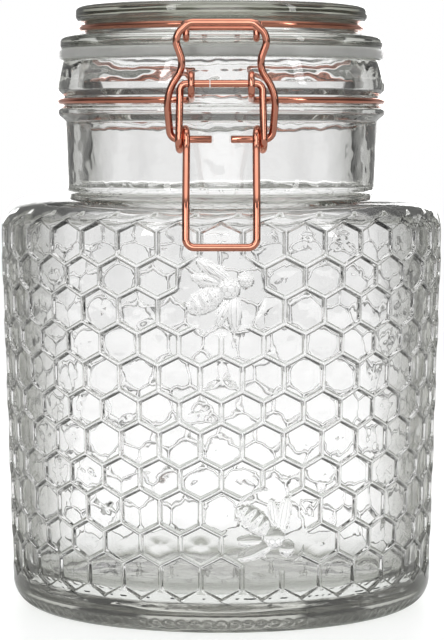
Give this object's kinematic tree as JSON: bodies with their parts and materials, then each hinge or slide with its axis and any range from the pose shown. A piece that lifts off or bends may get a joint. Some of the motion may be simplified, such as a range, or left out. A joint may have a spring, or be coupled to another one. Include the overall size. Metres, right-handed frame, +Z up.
{
  "type": "clip-top jar",
  "caption": "Round glass storage jar with a pressed honeycomb and bee relief, a clear glass lid on a rubber ring, and a copper-coloured wire clip and hinge.",
  "frame": {"origin": "on the jar's axis, on the surface it stands on", "axes": "+Z up along the jar's axis, the lever and bail at -Y, the lid's hinge at +Y"},
  "size_m": [0.1376, 0.14, 0.1863],
  "materials": {
    "glass": "clear pressed glass",
    "gasket": "translucent white silicone",
    "copper_wire": "polished rose-gold plating"
  },
  "bodies": {
    "jar": {"jar_glass": "glass", "neck_wire": "copper_wire"},
    "lid": {"lid_glass": "glass", "gasket": "gasket", "lid_wire": "copper_wire"},
    "lever": {"lever_wire": "copper_wire"},
    "bail": {"bail_wire": "copper_wire"}
  },
  "joints": [
    {"name": "lid_hinge", "type": "hinge", "parent": "jar", "child": "lid", "pos_m": [0, 0.057, 0.161], "axis": [-1, 0, 0], "range_deg": [0, 195]},
    {"name": "lever_pivot", "type": "hinge", "parent": "jar", "child": "lever", "pos_m": [0, -0.0555, 0.1615], "axis": [-1, 0, 0], "range_deg": [0, 100]},
    {"name": "bail_pivot", "type": "hinge", "parent": "lever", "child": "bail", "pos_m": [0, -0.0524, 0.1453], "axis": [-1, 0, 0], "range_deg": [-120, 0]}
  ],
  "couplings": [
    {"joint": "bail_pivot", "follows": "lever_pivot", "ratio": -1.2}
  ]
}
